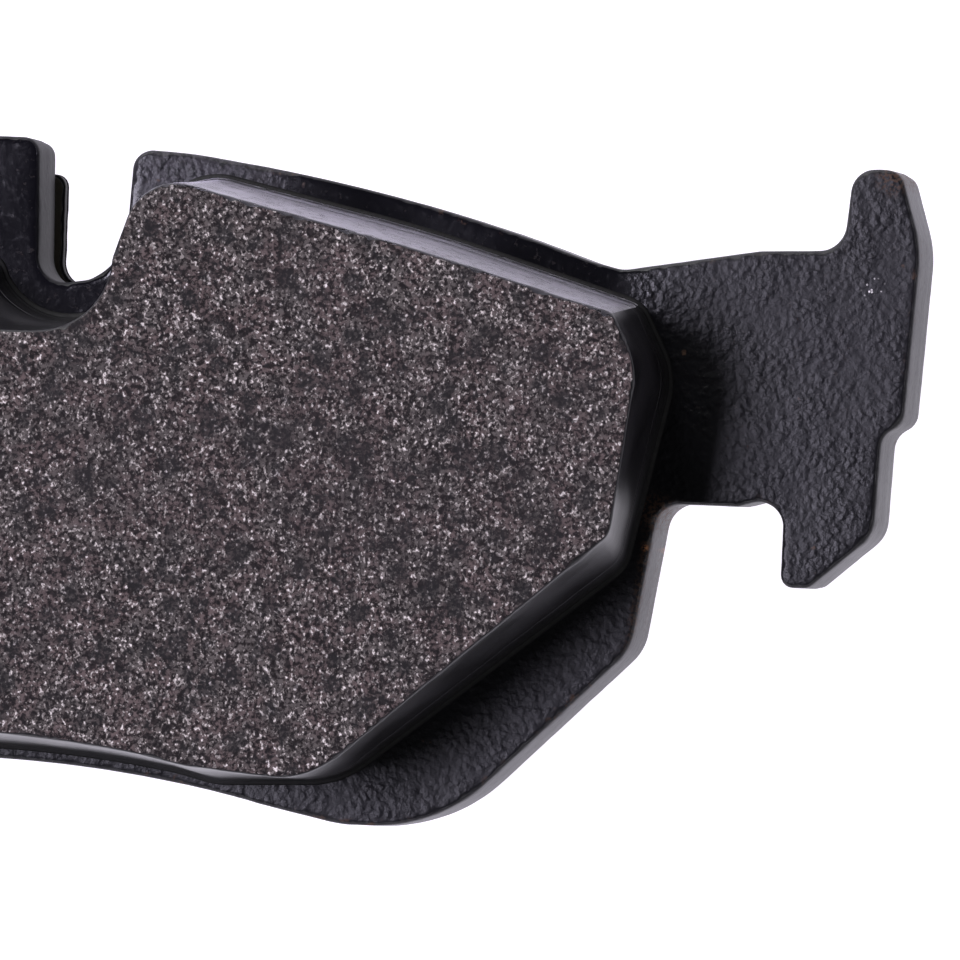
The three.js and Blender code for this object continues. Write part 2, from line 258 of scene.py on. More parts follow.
# ---- closed meshes --------------------------------------------------------------------------
class Shell:
    """A closed mesh, gathered from rings of points and the caps that close them."""

    def __init__(self):
        self.points = []
        self.wear = []
        self.faces = []
        self.slots = []

    def add(self, points, wear=0.0):
        first = len(self.points)
        self.points.extend(np.asarray(points, float).tolist())
        self.wear.extend(np.broadcast_to(wear, len(points)).tolist())
        return list(range(first, len(self.points)))

    def flat(self, ring):
        """A ring's points, seen from above."""
        return np.array([self.points[i][:2] for i in ring])

    def bridge(self, lower, upper, slot=0):
        """Joins two rings. The slot is one number, or one for each point of the ring."""
        count = len(lower)
        slots = np.broadcast_to(slot, count).tolist()
        for i in range(count):
            k = (i + 1) % count
            self.faces.append((lower[i], lower[k], upper[k], upper[i]))
            self.slots.append(slots[i])

    def walls(self, rings, slots=0):
        """Joins rings in order, from the lowest up for an outer wall."""
        slots = slots if isinstance(slots, list) else [slots] * (len(rings) - 1)
        for lower, upper, slot in zip(rings, rings[1:], slots):
            self.bridge(lower, upper, slot)

    def cap(self, rings, inner, up, slot=0, wear=0.0):
        """Fills the space inside the first ring and outside the others."""
        ids = [i for ring in rings for i in ring] + self.add(inner, wear)
        flat = [Vector(self.points[i][:2]) for i in ids]
        edges, first = [], 0
        for ring in rings:
            count = len(ring)
            edges += [(first + k, first + (k + 1) % count) for k in range(count)]
            first += count
        made = delaunay_2d_cdt(flat, edges, [], 2, 1e-6)
        origin = [ids[o[0]] for o in made[3]]
        openings = [set(ring) for ring in rings[1:]]
        for corners in made[2]:
            face = tuple(origin[k] for k in corners)
            if any(opening.issuperset(face) for opening in openings):
                continue
            a, b, c = (Vector(self.points[k][:2]) for k in face)
            turns_left = (b - a).cross(c - a) > 0
            self.faces.append(face if turns_left == up else face[::-1])
            self.slots.append(slot)

    def build(self, name, body, materials, nodes=(), smooth=True):
        mesh = bpy.data.meshes.new(name)
        mesh.from_pydata([Vector(p) * MM for p in self.points], [], self.faces)
        for material in materials:
            mesh.materials.append(material)
        mesh.polygons.foreach_set("material_index", self.slots)
        mesh.polygons.foreach_set("use_smooth", [smooth] * len(mesh.polygons))
        wear = mesh.attributes.new("wear", "FLOAT", "POINT")
        wear.data.foreach_set("value", np.array(self.wear, np.float32))
        mesh.validate()
        mesh.update()
        piece = bpy.data.objects.new(name, mesh)
        bpy.context.scene.collection.objects.link(piece)
        if body:
            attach(piece, body)
        if nodes:
            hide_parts(*nodes)
        return piece


# ---- material tools -------------------------------------------------------------------------
class Nodes:
    """A material whose patterns are in millimetres of the object's own space."""

    def __init__(self, name):
        self.material = bpy.data.materials.new(name)
        self.material.use_nodes = True
        self.tree = self.material.node_tree
        self.shader = self.tree.nodes["Principled BSDF"]
        where = self.tree.nodes.new("ShaderNodeTexCoord")
        scale = self.tree.nodes.new("ShaderNodeVectorMath")
        scale.operation = "SCALE"
        scale.inputs["Scale"].default_value = 1 / MM
        self.link(where.outputs["Object"], scale.inputs[0])
        self.mm = scale.outputs[0]

    def link(self, source, target):
        self.tree.links.new(source, target)

    def put(self, value, target):
        if isinstance(value, bpy.types.NodeSocket):
            self.link(value, target)
        else:
            target.default_value = value

    def set(self, socket, value):
        self.put(value, self.shader.inputs[socket])

    def stretched(self, scales, angle=0.0):
        """Coordinates turned about z, then stretched along each axis."""
        node = self.tree.nodes.new("ShaderNodeMapping")
        node.inputs["Rotation"].default_value = (0, 0, angle)
        node.inputs["Scale"].default_value = scales
        self.link(self.mm, node.inputs["Vector"])
        return node.outputs[0]

    def noise(self, size, detail=2.0, roughness=0.5, distortion=0.0, at=None):
        node = self.tree.nodes.new("ShaderNodeTexNoise")
        node.inputs["Scale"].default_value = 1 / size
        node.inputs["Detail"].default_value = detail
        node.inputs["Roughness"].default_value = roughness
        node.inputs["Distortion"].default_value = distortion
        self.link(at or self.mm, node.inputs["Vector"])
        return node.outputs["Fac"]

    def cells(self, size, output="Distance", feature="F1", at=None):
        node = self.tree.nodes.new("ShaderNodeTexVoronoi")
        node.feature = feature
        node.inputs["Scale"].default_value = 1 / size
        self.link(at or self.mm, node.inputs["Vector"])
        return node.outputs[output]

    def warped(self, size, amount, at=None):
        """Coordinates pushed about by noise, which makes straight cell borders ragged."""
        node = self.tree.nodes.new("ShaderNodeTexNoise")
        node.inputs["Scale"].default_value = 1 / size
        node.inputs["Detail"].default_value = 2.0
        self.link(at or self.mm, node.inputs["Vector"])
        push = self.tree.nodes.new("ShaderNodeVectorMath")
        push.operation = "MULTIPLY_ADD"
        self.link(node.outputs["Color"], push.inputs[0])
        push.inputs[1].default_value = (amount, amount, amount)
        self.link(at or self.mm, push.inputs[2])
        return push.outputs[0]

    def ramp(self, value, low, high, to_low=0.0, to_high=1.0, smooth=True):
        node = self.tree.nodes.new("ShaderNodeMapRange")
        node.interpolation_type = "SMOOTHSTEP" if smooth else "LINEAR"
        self.link(value, node.inputs["Value"])
        node.inputs["From Min"].default_value = low
        node.inputs["From Max"].default_value = high
        node.inputs["To Min"].default_value = to_low
        node.inputs["To Max"].default_value = to_high
        return node.outputs[0]

    def math(self, operation, a, b=0.0, c=0.0):
        node = self.tree.nodes.new("ShaderNodeMath")
        node.operation = operation
        for value, target in zip((a, b, c), node.inputs):
            self.put(value, target)
        return node.outputs[0]

    def times(self, a, b):
        return self.math("MULTIPLY", a, b)

    def plus(self, a, b):
        return self.math("ADD", a, b)

    def most(self, a, b):
        return self.math("MAXIMUM", a, b)

    def mix(self, share, a, b):
        node = self.tree.nodes.new("ShaderNodeMix")
        node.data_type = "RGBA"
        sockets = [s for s in node.inputs if s.type == "RGBA"]
        self.put(share, node.inputs["Factor"])
        self.put(a if isinstance(a, bpy.types.NodeSocket) else (*a, 1), sockets[0])
        self.put(b if isinstance(b, bpy.types.NodeSocket) else (*b, 1), sockets[1])
        return [s for s in node.outputs if s.type == "RGBA"][0]

    def part(self, vector, axis):
        node = self.tree.nodes.new("ShaderNodeSeparateXYZ")
        self.link(vector, node.inputs[0])
        return node.outputs[axis]

    def place(self, centre, near, far):
        """One near a point and its mirror image on the pad, and zero far from them, in millimetres."""
        node = self.tree.nodes.new("ShaderNodeVectorMath")
        node.operation = "DISTANCE"
        folded = self.tree.nodes.new("ShaderNodeVectorMath")
        folded.operation = "ABSOLUTE"
        flat = self.tree.nodes.new("ShaderNodeVectorMath")
        flat.operation = "MULTIPLY"
        flat.inputs[1].default_value = (0, 1, 0)
        sideways = self.tree.nodes.new("ShaderNodeVectorMath")
        sideways.operation = "MULTIPLY_ADD"
        sideways.inputs[1].default_value = (1, 0, 0)
        self.link(self.mm, folded.inputs[0])
        self.link(self.mm, flat.inputs[0])
        self.link(folded.outputs[0], sideways.inputs[0])
        self.link(flat.outputs[0], sideways.inputs[2])
        self.link(sideways.outputs[0], node.inputs[0])
        node.inputs[1].default_value = (*centre, 0)
        return self.ramp(node.outputs["Value"], near, far, 1.0, 0.0)

    def facing(self, axis):
        """How far the smooth surface turns towards an axis of the object."""
        node = self.tree.nodes.new("ShaderNodeTexCoord")
        return self.part(node.outputs["Normal"], axis)

    def attribute(self, name):
        node = self.tree.nodes.new("ShaderNodeAttribute")
        node.attribute_name = name
        return node.outputs["Fac"]

    def bump(self, height, depth, strength=1.0, after=None):
        """Relief of depth millimetres between heights 0 and 1."""
        node = self.tree.nodes.new("ShaderNodeBump")
        node.inputs["Strength"].default_value = strength
        node.inputs["Distance"].default_value = depth * MM
        self.link(height, node.inputs["Height"])
        if after:
            self.link(after, node.inputs["Normal"])
        return node.outputs[0]


# ---- materials ------------------------------------------------------------------------------
# Marks on the right half of the pad, as x and y. The left half has their mirror images.
GREY_PATCH = (14.5, 20.4)
EAR_CORNER_RUST = (59.6, 21.2)
NECK_RUST = (45.0, -1.0)
LOBE_CORNER_RUST = (44.2, -5.5)
RUST_SPOT = (44.35, -3.2)
BARE_CHIPS = (58.6, 14.1)
NOTCH_WALLS = (5, 18)
SCORED_FACE = (30, -5)


def coated_steel():
    """Black powder coat: orange peel, smooth and dusty places, worn edges and a few rust specks."""
    n = Nodes("coated_steel")
    wear = n.attribute("wear")
    broad = n.noise(9, 2)
    beads = n.cells(0.50, feature="SMOOTH_F1", at=n.warped(0.4, 0.3))
    lumps = n.plus(n.ramp(beads, 0.05, 0.65, 0.6, 0.0), n.noise(0.33, 2, 0.5))
    lumps = n.times(lumps, n.ramp(n.noise(2.6, 2), 0.35, 0.6, 0.6, 1.1))
    fine = n.noise(0.16, 2, 0.6)
    dust = n.noise(0.5, 4, 0.7)
    face = n.ramp(n.facing("Z"), 0.75, 0.95)
    flat = n.ramp(n.math("ABSOLUTE", n.facing("Z")), 0.75, 0.95)
    upper = n.times(n.ramp(n.part(n.mm, "Y"), 3.0, 7.0), face)
    reach = n.math("ABSOLUTE", n.part(n.mm, "X"))
    smooth = n.times(upper, n.ramp(reach, 40, 47, 1.0, 0.0))
    grey = n.place(GREY_PATCH, 3.0, 7.0)
    smooth = n.times(smooth, n.math("SUBTRACT", 1.0, grey))
    colour = n.mix(n.ramp(broad, 0.35, 0.68), (0.0045, 0.0042, 0.0068), (0.0080, 0.0074, 0.0115))
    colour = n.mix(n.ramp(dust, 0.58, 0.78, 0.0, 0.35), colour, (0.026, 0.023, 0.029))
    mottled = n.times(grey, n.ramp(n.noise(0.4, 3, 0.6), 0.38, 0.55))
    colour = n.mix(n.times(mottled, 0.8), colour, (0.052, 0.047, 0.058))
    scuffed = n.times(upper, n.ramp(n.noise(0.45, 3, 0.7), 0.62, 0.7))
    colour = n.mix(n.times(scuffed, 0.5), colour, (0.060, 0.052, 0.052))
    speck = n.cells(0.8, at=n.warped(0.4, 0.5))
    chosen = n.ramp(n.noise(3.1, 3, 0.6), 0.62, 0.68)
    rust_wear = n.times(n.ramp(wear, 0.3, 0.9), n.ramp(n.noise(0.9, 4, 0.7), 0.54, 0.64))
    rust = n.times(n.ramp(speck, 0.14, 0.24, 1.0, 0.0), chosen)
    rust = n.most(rust, n.times(rust_wear, n.ramp(broad, 0.52, 0.62)))
    rusty = n.most(n.place(EAR_CORNER_RUST, 0.3, 1.5), n.place(NECK_RUST, 0.4, 1.8))
    rusty = n.most(rusty, n.times(n.place(LOBE_CORNER_RUST, 2.0, 5.5), wear))
    rusty = n.times(rusty, n.ramp(n.noise(0.25, 3, 0.6), 0.47, 0.56))
    rust = n.most(rust, rusty)
    colour = n.mix(n.times(rust, 0.8), colour, (0.105, 0.056, 0.036))
    chip = n.times(n.place(BARE_CHIPS, 0.3, 1.0), n.ramp(n.cells(0.33), 0.18, 0.26, 1.0, 0.0))
    ember = n.times(n.place(RUST_SPOT, 0.05, 0.3), n.ramp(fine, 0.4, 0.5))
    colour = n.mix(ember, colour, (0.50, 0.20, 0.08))
    colour = n.mix(chip, colour, (0.55, 0.53, 0.52))
    n.set("Base Color", colour)
    n.set("Metallic", chip)
    rough = n.ramp(broad, 0.3, 0.7, 0.40, 0.46)
    rough = n.math("SUBTRACT", rough, n.times(smooth, 0.31))
    rough = n.plus(rough, n.ramp(dust, 0.5, 0.75, 0.0, 0.08))
    rough = n.plus(rough, n.times(rust, 0.2))
    notch = n.times(n.place(NOTCH_WALLS, 5.0, 9.0), n.math("SUBTRACT", 1.0, face))
    n.set("Roughness", n.plus(rough, n.times(notch, 0.18)))
    n.set("Specular IOR Level", 0.45)
    peel = n.times(lumps, n.ramp(smooth, 0, 1, 1.0, 0.08))
    peel = n.times(peel, n.ramp(flat, 0, 1, 0.3, 1.0))
    relief = n.bump(peel, 0.064, 0.9)
    crisp = n.times(fine, n.ramp(smooth, 0, 1, 1.0, 0.25))
    n.set("Normal", n.bump(crisp, 0.012, 0.7, relief))
    return n.material


def ground_friction():
    """Ground semi-metallic compound: steel flecks, graphite lumps and a brown-violet binder."""
    n = Nodes("ground_friction")
    grain = n.noise(0.29, 3, 0.66)
    flake = n.noise(0.20, 1.5, 0.5, 0.0, n.stretched((1.0, 0.85, 1.0), 0.9))
    cluster = n.noise(1.0, 3, 0.62)
    broad = n.noise(11, 2)
    binder = n.mix(n.ramp(n.noise(2.0, 2), 0.4, 0.6), (0.172, 0.131, 0.127), (0.146, 0.128, 0.122))
    colour = n.mix(n.ramp(grain, 0.40, 0.60), (0.020, 0.0155, 0.016), binder)
    bright = n.times(n.ramp(flake, 0.53, 0.64), n.ramp(cluster, 0.40, 0.56, 0.18, 1.0))
    colour = n.mix(n.times(bright, 0.72), colour, (0.50, 0.445, 0.42))
    flecks = n.times(n.ramp(flake, 0.61, 0.68), n.ramp(grain, 0.42, 0.58))
    colour = n.mix(flecks, colour, (0.88, 0.81, 0.77))
    small = n.ramp(n.noise(0.55, 2, 0.5, 0.6), 0.555, 0.64)
    colour = n.mix(n.times(small, 0.85), colour, (0.016, 0.013, 0.0145))
    lump_at = n.warped(0.8, 1.2)
    lump = n.ramp(n.cells(2.1, at=lump_at), 0.24, 0.46, 1.0, 0.0)
    kept = n.ramp(n.part(n.cells(2.1, "Color", at=lump_at), "X"), 0.36, 0.5)
    lump = n.times(lump, kept)
    soft = n.ramp(n.noise(1.5, 2, 0.55, 0.4), 0.55, 0.64)
    lump = n.most(lump, n.times(soft, 0.8))
    lump = n.times(lump, n.ramp(grain, 0.36, 0.62, 1.0, 0.72))
    colour = n.mix(n.times(lump, 0.92), colour, (0.015, 0.0135, 0.0145))
    brown_at = n.warped(0.6, 0.7)
    brown = n.ramp(n.cells(3.6, at=brown_at), 0.07, 0.17, 1.0, 0.0)
    brown_kept = n.ramp(n.part(n.cells(3.6, "Color", at=brown_at), "Z"), 0.55, 0.6)
    brown = n.times(brown, brown_kept)
    colour = n.mix(n.times(brown, 0.6), colour, (0.105, 0.066, 0.052))
    streak = n.noise(0.2, 2, 0.5, 0.0, n.stretched((1.0, 0.12, 1.0), 0.05))
    scored = n.times(n.ramp(streak, 0.52, 0.66), n.place(SCORED_FACE, 4.0, 17.0))
    colour = n.mix(n.times(scored, 0.6), colour, (0.026, 0.020, 0.022))
    colour = n.mix(n.ramp(broad, 0.4, 0.7, 0.0, 0.2), colour, (0.040, 0.032, 0.035))
    n.set("Base Color", colour)
    n.set("Metallic", n.times(flecks, 0.3))
    rough = n.math("SUBTRACT", n.ramp(lump, 0, 1, 0.85, 0.66), n.times(flecks, 0.4))
    n.set("Roughness", rough)
    n.set("Specular IOR Level", 0.22)
    height = n.plus(n.times(grain, 0.8), n.times(lump, -0.4))
    relief = n.bump(height, 0.05, 0.6)
    n.set("Normal", n.bump(streak, 0.010, 0.4, relief))
    return n.material


def coated_block(name, highlight_side):
    """The same coat over the block's moulded side. The copy for the sides away from the axle, which face the
    top light, has a lighter film painted on as a highlight, with sheen and dark torn dashes.
    """
    n = Nodes(name)
    wear = n.attribute("wear")
    grain = n.noise(0.34, 3, 0.6)
    broad = n.noise(5, 2)
    dust = n.noise(0.5, 4, 0.72)
    colour = n.mix(n.ramp(broad, 0.35, 0.68), (0.0055, 0.0050, 0.0066), (0.0100, 0.0090, 0.0115))
    colour = n.mix(n.ramp(dust, 0.62, 0.8, 0.0, 0.4), colour, (0.040, 0.036, 0.042))
    bare = n.times(n.ramp(wear, 0.5, 0.9), n.ramp(n.noise(0.5, 3, 0.7), 0.42, 0.6))
    colour = n.mix(n.times(bare, 0.5), colour, (0.075, 0.064, 0.069))
    rough = n.plus(n.ramp(broad, 0.3, 0.7, 0.30, 0.40), n.times(bare, 0.35))
    foot = n.ramp(n.part(n.mm, "Z"), PLATE_FACE + 0.3, PLATE_FACE + 2.0, 0.35, 0.0)
    relief = n.bump(grain, 0.03, 0.5)
    if highlight_side:
        cracks = n.noise(0.22, 2, 0.6, 0.3, n.stretched((0.22, 0.9, 1.1), 0.0))
        torn = n.times(n.ramp(cracks, 0.55, 0.61), n.ramp(n.noise(2.2, 2), 0.40, 0.52))
        # Painted highlight: a light lavender-grey film over the walls that face the top light, mottled by the
        # dust noise.
        colour = n.mix(n.ramp(dust, 0.25, 0.5, 0.6, 1.0), colour, (0.040, 0.038, 0.046))
        colour = n.mix(torn, colour, (0.008, 0.007, 0.009))
        foot = n.most(foot, n.times(torn, 0.45))
        relief = n.bump(n.times(torn, -1.0), 0.10, 0.9, relief)
        n.set("Sheen Weight", 0.85)
        n.set("Sheen Roughness", 0.3)
        n.set("Sheen Tint", (0.93, 0.89, 1.0, 1))
    n.set("Base Color", colour)
    n.set("Roughness", n.plus(rough, foot))
    n.set("Specular IOR Level", 0.45)
    n.set("Normal", n.bump(n.noise(1.6, 2), 0.06, 0.5, relief))
    return n.material


def bond_material():
    """Cured bond film, darkened by the coat that was sprayed over its edge."""
    n = Nodes("bond_film")
    flow = n.noise(0.5, 3, 0.6)
    n.set("Base Color", n.mix(flow, (0.005, 0.0045, 0.006), (0.009, 0.008, 0.009)))
    n.set("Roughness", n.ramp(flow, 0.3, 0.7, 0.6, 0.75))
    n.set("Normal", n.bump(flow, 0.04, 0.6))
    return n.material


def rubber_material(name, size):
    """Thin vulcanised coat: fine calendered grain, talc haze and faint scuffs."""
    n = Nodes(name)
    haze = n.noise(7, 4, 0.62)
    grain = n.noise(size, 3, 0.65)
    scuff = n.noise(0.35, 2, 0.5, 0.0, n.stretched((0.05, 1.0, 1.0), 0.5))
    colour = n.mix(n.ramp(haze, 0.35, 0.7), (0.007, 0.007, 0.008), (0.014, 0.014, 0.0155))
    colour = n.mix(n.ramp(scuff, 0.66, 0.8, 0.0, 0.4), colour, (0.055, 0.054, 0.056))
    colour = n.mix(n.ramp(n.cells(0.7), 0.05, 0.12, 0.35, 0.0), colour, (0.09, 0.088, 0.085))
    n.set("Base Color", colour)
    n.set("Roughness", n.ramp(haze, 0.3, 0.7, 0.55, 0.72))
    relief = n.bump(grain, 0.025, 0.8)
    n.set("Normal", n.bump(haze, 0.12, 0.3, relief))
    return n.material


def steel_material(name, dark, light, roughness, tint=None, grain_angle=0.0):
    """Bare or plated steel with rolling lines, handling marks and a faint uneven tint."""
    n = Nodes(name)
    wear = n.attribute("wear")
    lines = n.noise(0.10, 3, 0.6, 0.0, n.stretched((0.04, 1.0, 1.0), grain_angle))
    cloud = n.noise(2.4, 4, 0.6)
    spots = n.noise(0.5, 3, 0.7)
    colour = n.mix(n.ramp(lines, 0.3, 0.7), dark, light)
    if tint:
        colour = n.mix(n.ramp(cloud, 0.45, 0.72, 0.0, 0.55), colour, tint)
    colour = n.mix(n.ramp(spots, 0.62, 0.75, 0.0, 0.5), colour, [c * 0.55 for c in dark])
    colour = n.mix(n.times(n.ramp(wear, 0.4, 1.0), 0.5), colour, (0.62, 0.61, 0.6))
    n.set("Base Color", colour)
    n.set("Metallic", 1.0)
    rough = n.ramp(cloud, 0.3, 0.7, roughness - 0.05, roughness + 0.09)
    n.set("Roughness", n.plus(rough, n.ramp(spots, 0.6, 0.75, 0.0, 0.2)))
    relief = n.bump(lines, 0.006, 0.5)
    n.set("Normal", n.bump(spots, 0.02, 0.25, relief))
    return n.material


def adhesive_material():
    n = Nodes("shim_adhesive")
    flow = n.noise(0.6, 3, 0.6)
    n.set("Base Color", n.mix(flow, (0.10, 0.088, 0.06), (0.2, 0.18, 0.13)))
    n.set("Roughness", n.ramp(flow, 0.3, 0.7, 0.3, 0.55))
    n.set("Normal", n.bump(flow, 0.03, 0.6))
    return n.material


COAT = coated_steel()
FRICTION = ground_friction()
COATED_BLOCK = coated_block("coated_block", False)
# The second copy carries a painted highlight and sheen for the walls that face the top light.
HIGHLIGHT_SIDE_BLOCK = coated_block("coated_block_painted_highlight", True)
BOND = bond_material()
OUTER_RUBBER = rubber_material("shim_rubber", 0.16)
ADHESIVE = adhesive_material()
SHIM_STEEL = steel_material("shim_steel", (0.30, 0.30, 0.31), (0.46, 0.46, 0.47), 0.38)
SPRING_TINT = (0.46, 0.42, 0.33)
SPRING = steel_material("spring_steel", (0.36, 0.365, 0.37), (0.50, 0.50, 0.50), 0.30, SPRING_TINT, 0.2)
RIVET_TINT = (0.5, 0.47, 0.38)
RIVET = steel_material("rivet_steel", (0.42, 0.42, 0.41), (0.58, 0.57, 0.55), 0.28, RIVET_TINT, 1.1)


# ---- backing plate --------------------------------------------------------------------------
BACK_ROUND = 0.5
FACE_ROUND = 0.30
DRAWN_IN = 0.17
TEAR_SHARE = 0.33
TEAR_HEIGHT = 0.15
BITE_DEPTH = 0.34
COUNTERBORE_DEPTH = 1.5
COVER_OVERLAP = 0.8


def coat_relief(flat):
    """Height of the powder coat: broad waves, and orange peel except along the pad's top edge."""
    at = lifted(flat, 0)
    smooth = smoothstep(3, 7, flat[:, 1]) * (1 - smoothstep(40, 47, np.abs(flat[:, 0])))
    return 0.025 * fractal(at, 7, 2) + 0.012 * (1 - 0.85 * smooth) * fractal(at + 40, 0.75, 2, 0.4)


def edge_wall(shell, loop, profile, rough, mask=1.0):
    """Rings up an edge. The profile lists height, how far in, and how worn it is there."""
    normal = outward(loop)
    rings = []
    for height, inset, wear in profile:
        at = lifted(loop, height)
        push = rough * fractal(at * (1, 1, 0.35) + 9, 0.9, 2)
        flat = loop - normal * (inset * mask - push)[:, None]
        rings.append(shell.add(lifted(flat, height), wear))
    return rings


def quarter_round(height, radius, upward, wear, turns=(0, 22, 45, 68, 90)):
    """Rows of an edge profile that rounds off from a wall to the flat face at a height."""
    rows = []
    for turn in turns:
        angle = math.radians(turn)
        drop = radius * (1 - math.sin(angle))
        inset = radius * (1 - math.cos(angle))
        rows.append((height - drop if upward else height + drop, inset, wear))
    return rows if upward else rows[::-1]


def plate_profile():
    """A blanked edge: rounded and drawn in at the back, torn, sheared, then rolled to the face."""
    tear = PLATE_BACK + TEAR_SHARE * PLATE_THICKNESS
    sheared = tear + TEAR_HEIGHT
    back = quarter_round(PLATE_BACK, BACK_ROUND, False, 0.6)
    rows = [(z, inset + DRAWN_IN, wear) for z, inset, wear in back]
    low = PLATE_BACK + BACK_ROUND
    rows += [(low + (tear - low) * t, DRAWN_IN * (1 - 0.5 * t), 0.2) for t in (0.3, 0.6, 0.9)]
    rows += [(tear, DRAWN_IN * 0.5, 0.4), (sheared, DRAWN_IN * 0.35, 0.4)]
    high = PLATE_FACE - FACE_ROUND
    for t in (0.25, 0.5, 0.75):
        rows.append((sheared + (high - sheared) * t, DRAWN_IN * 0.35 * (1 - t), 0.1))
    return rows + quarter_round(PLATE_FACE, FACE_ROUND, True, 0.7)


def nibble_edge(shell, rings, loop):
    """Small bites along the edge of the coated face, deeper towards the face."""
    normal = outward(loop)
    ragged = fractal(lifted(loop, 1), 1.0, 3, 0.65)
    bite = BITE_DEPTH * np.clip(ragged - 0.05, 0, 0.5)
    for share, ring in zip((0.3, 0.6, 0.9, 1.0), rings):
        for i, (x, y), amount in zip(ring, normal, bite * share):
            shell.points[i][0] -= x * amount
            shell.points[i][1] -= y * amount


def backing_plate():
    outline = divide(flat_loops("backing_plate", PLATE_FACE)[:1], EDGE_STEP)[0]
    block = divide(flat_loops("bond_film", BOND_TOP)[:1], COVER_STEP)[0]
    shim = divide(flat_loops("shim_outer_rubber", SHIM_BACK)[:1], COVER_STEP)[0]
    front_holes = flat_loops("backing_plate", PLATE_FACE)[1:]
    back_holes = flat_loops("backing_plate", PLATE_BACK)[1:]
    shell = Shell()
    rings = edge_wall(shell, outline, plate_profile(), 0.012)
    nibble_edge(shell, rings[-4:], outline)
    shell.walls(rings)
    hole_rings = {PLATE_FACE: [], PLATE_BACK: []}
    for front in front_holes:
        middle = front.mean(0)
        back = min(back_holes, key=lambda loop: np.linalg.norm(loop.mean(0) - middle))
        radius = [mean_radius(loop, middle) for loop in (front, back)]
        rows = [(radius[0], PLATE_FACE), (radius[1], PLATE_BACK)]
        if radius[0] > radius[1] + 0.1:
            step = PLATE_FACE - COUNTERBORE_DEPTH
            rows[1:1] = [(radius[0], step), (radius[1], step)]
        made = [shell.add(lifted(circle(middle, r), z)) for r, z in rows]
        shell.walls(made)
        hole_rings[PLATE_FACE].append(made[0])
        hole_rings[PLATE_BACK].append(made[-1])
    covers = {PLATE_FACE: (block, rings[-1]), PLATE_BACK: (shim, rings[0])}
    for height, (cover, rim) in covers.items():
        edge = shell.flat(rim)
        hole_edges = [shell.flat(ring) for ring in hole_rings[height]]
        cover_inner = cover - outward(cover) * COVER_OVERLAP
        up = height == PLATE_FACE
        sign = 1 if up else -1
        fine = scatter(edge, [cover_inner], FINE_STEP if up else PLATE_BACK_STEP)
        coarse = scatter(cover_inner, hole_edges, COARSE_STEP, 0.5)
        relief = coat_relief(fine) * smoothstep(0, 0.8, distance_to(fine, edge))
        inner = np.vstack([lifted(fine, height + sign * relief), lifted(coarse, height)])
        shell.cap([rim, *hole_rings[height]], inner, up)
    return shell.build("backing_plate_coated", "pad", [COAT], ["backing_plate"])


# ---- friction block -------------------------------------------------------------------------
BASE_LOOP = from_the_top(flat_loops("bond_film", PLATE_FACE)[0])
FACE_LOOP = from_the_top(flat_loops("friction_lining", BLOCK_FACE)[0])
BASE_LINE, FACE_LINE = divide([BASE_LOOP, FACE_LOOP], FACE_STEP)
BLOCK_HEIGHT = BLOCK_FACE - PLATE_FACE
FLARE = 0.5
RECESS_REACH = 9.5
PLUG_TAPER = 0.1
GROUND_ROUND = 0.22
SIDE_ROWS = 17


def block_ring(shell, height, inset=0.0, wear=0.0):
    """A ring round the block at a height, with the moulded side's waviness and the flare at its foot."""
    share = (height - PLATE_FACE) / BLOCK_HEIGHT
    line = BASE_LINE * (1 - share) + FACE_LINE * share
    normal = outward(line)
    up = height - PLATE_FACE
    flare = FLARE * (1 - math.sqrt(1 - (1 - min(up / FLARE, 1)) ** 2)) if up < FLARE else 0.0
    at = lifted(line, height)
    moulded = 0.04 * fractal(at, 3.2, 2) + 0.01 * fractal(at * (1, 1, 0.5) + 5, 0.7, 2)
    flat = line + normal * (flare - inset + moulded * smoothstep(0, 1, up))[:, None]
    return shell.add(lifted(flat, height), wear)


def side_slots(highlight_side):
    """The material slot at each point of a ring: the copy with the painted highlight on the sides that face
    away from the axle, towards the top light.
    """
    faces_away = outward(BASE_LINE)[:, 1] > 0.75
    beside_tab = np.abs(BASE_LINE[:, 0]) < RECESS_REACH
    return np.where(faces_away & ~beside_tab, highlight_side, 0)


def bond_film():
    shell = Shell()
    rows = [PLATE_FACE + 0.01, PLATE_FACE + 0.05, PLATE_FACE + 0.1, BOND_TOP]
    rings = [block_ring(shell, z, 0.02) for z in rows]
    shell.walls(rings)
    for ring, z, up in ((rings[0], rows[0], False), (rings[-1], rows[-1], True)):
        inner = scatter(shell.flat(ring), [], COARSE_STEP, 0.4)
        shell.cap([ring], lifted(inner, z), up)
    return shell.build("bond_film_bead", "pad", [BOND], ["bond_film"])


def underlayer():
    shell = Shell()
    top = JOINT - BLOCK_GAP
    low = BOND_TOP + BLOCK_GAP
    rows = [low + (top - low) * t for t in (0, 0.05, 0.12, 0.22, 0.38, 0.58, 0.78, 0.92, 0.985)]
    rings = [block_ring(shell, z) for z in rows]
    rings.append(block_ring(shell, top, 0.05))
    shell.walls(rings, [side_slots(1)] * (len(rings) - 1))
    bottom = heights("underlayer")[0]
    plugs = []
    for loop in flat_loops("underlayer", bottom):
        middle = loop.mean(0)
        radius = mean_radius(loop, middle)
        upper = shell.add(lifted(circle(middle, radius), low))
        lower = shell.add(lifted(circle(middle, radius - PLUG_TAPER), bottom))
        shell.walls([lower, upper])
        inner = scatter(shell.flat(lower), [], COARSE_STEP, 0.4)
        shell.cap([lower], lifted(inner, bottom), False)
        plugs.append(upper)
    holes = [shell.flat(ring) for ring in plugs]
    inner = scatter(shell.flat(rings[0]), holes, COARSE_STEP, 0.4)
    shell.cap([rings[0], *plugs], lifted(inner, low), False)
    inner = scatter(shell.flat(rings[-1]), [], COARSE_STEP, 0.4)
    shell.cap([rings[-1]], lifted(inner, top), True)
    materials = [COATED_BLOCK, HIGHLIGHT_SIDE_BLOCK]
    return shell.build("underlayer_moulded", "pad", materials, ["underlayer"])


